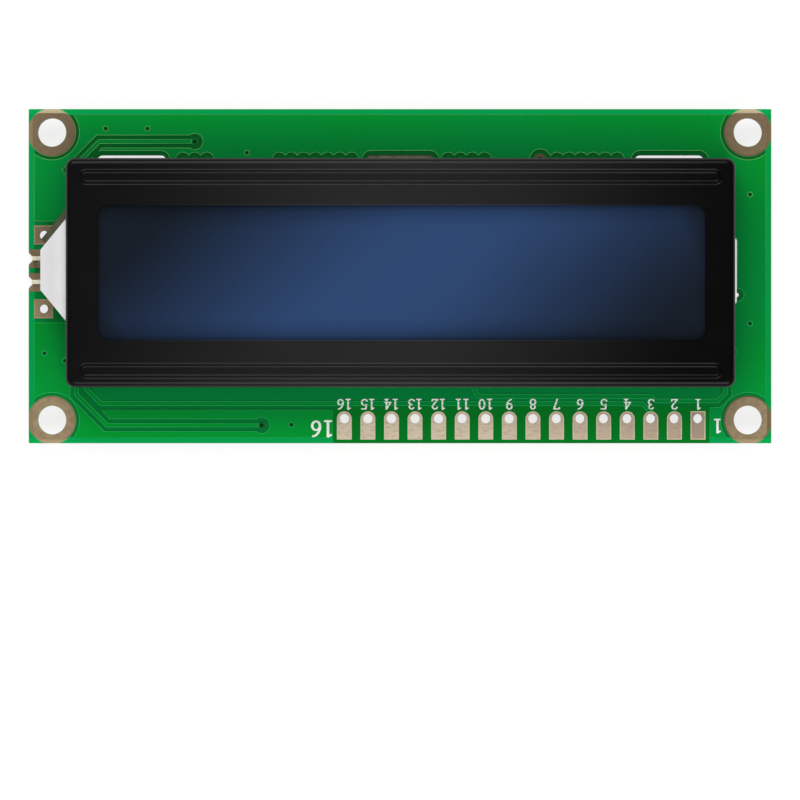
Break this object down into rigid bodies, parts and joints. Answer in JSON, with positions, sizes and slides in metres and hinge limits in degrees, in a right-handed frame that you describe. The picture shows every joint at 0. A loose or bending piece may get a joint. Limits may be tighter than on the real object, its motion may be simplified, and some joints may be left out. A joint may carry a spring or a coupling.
{
  "type": "character lcd module",
  "caption": "Two-line character display module: green circuit board, black steel bezel with a dark blue window, side-lit white backlight and a row of connection holes.",
  "frame": {"origin": "centre of the circuit board in plan, at the lowest rear point, which is the flat middle of the epoxy domes", "axes": "+X along the board's long edge towards the first connection hole, +Y away from the connection holes, +Z out of the display"},
  "size_m": [0.08, 0.036, 0.0102],
  "materials": {
    "board_mask": "glass-epoxy laminate under glossy green solder mask",
    "masked_copper": "copper under glossy green solder mask",
    "bare_land": "thin dull tin over copper",
    "tinned_pad": "pale satin tin over copper",
    "via_plating": "plated copper, partly under mask",
    "gold_finger": "thin gold over nickel",
    "bezel_paint": "semi-gloss black paint on sheet steel",
    "solder": "dull solder",
    "polarizer_film": "smooth dark blue polarizing film",
    "display_glass": "clear float glass",
    "cell_seal": "cured epoxy",
    "rear_film": "grey-blue polarizing film",
    "rubber_strip": "layered conductive silicone rubber",
    "white_film": "matt white film",
    "guide_white": "milky moulded plastic",
    "brown_tape": "olive-brown adhesive tape",
    "lamp_resin": "clear and pale yellow epoxy resin",
    "tinned_wire": "bright tinned wire",
    "black_epoxy": "cured black epoxy",
    "chip_black": "black glazed chip body",
    "chip_tan": "tan ceramic chip body"
  },
  "bodies": {
    "root": {"circuit_board": "board_mask", "front_copper": "masked_copper", "rear_copper": "masked_copper", "mounting_lands": "bare_land", "connection_pads": "tinned_pad", "backlight_pads": "bare_land", "lead_pads": "bare_land", "vias": "via_plating", "upper_contact_fingers": "gold_finger", "lower_contact_fingers": "gold_finger", "bezel": "bezel_paint", "earth_solder": "solder", "front_polarizer": "polarizer_film", "front_glass": "display_glass", "cell_seal": "cell_seal", "rear_glass": "display_glass", "rear_polarizer": "rear_film", "upper_connector_strip": "rubber_strip", "lower_connector_strip": "rubber_strip", "diffuser": "white_film", "light_guide": "guide_white", "reflector": "white_film", "backlight_tape": "brown_tape", "backlight_lamp": "lamp_resin", "lamp_leads": "tinned_wire", "lead_solder": "solder", "driver_domes": "black_epoxy", "chip_resistors": "chip_black", "chip_capacitors": "chip_tan", "chip_end_caps": "tinned_wire", "chip_pads": "tinned_pad"}
  },
  "joints": []
}
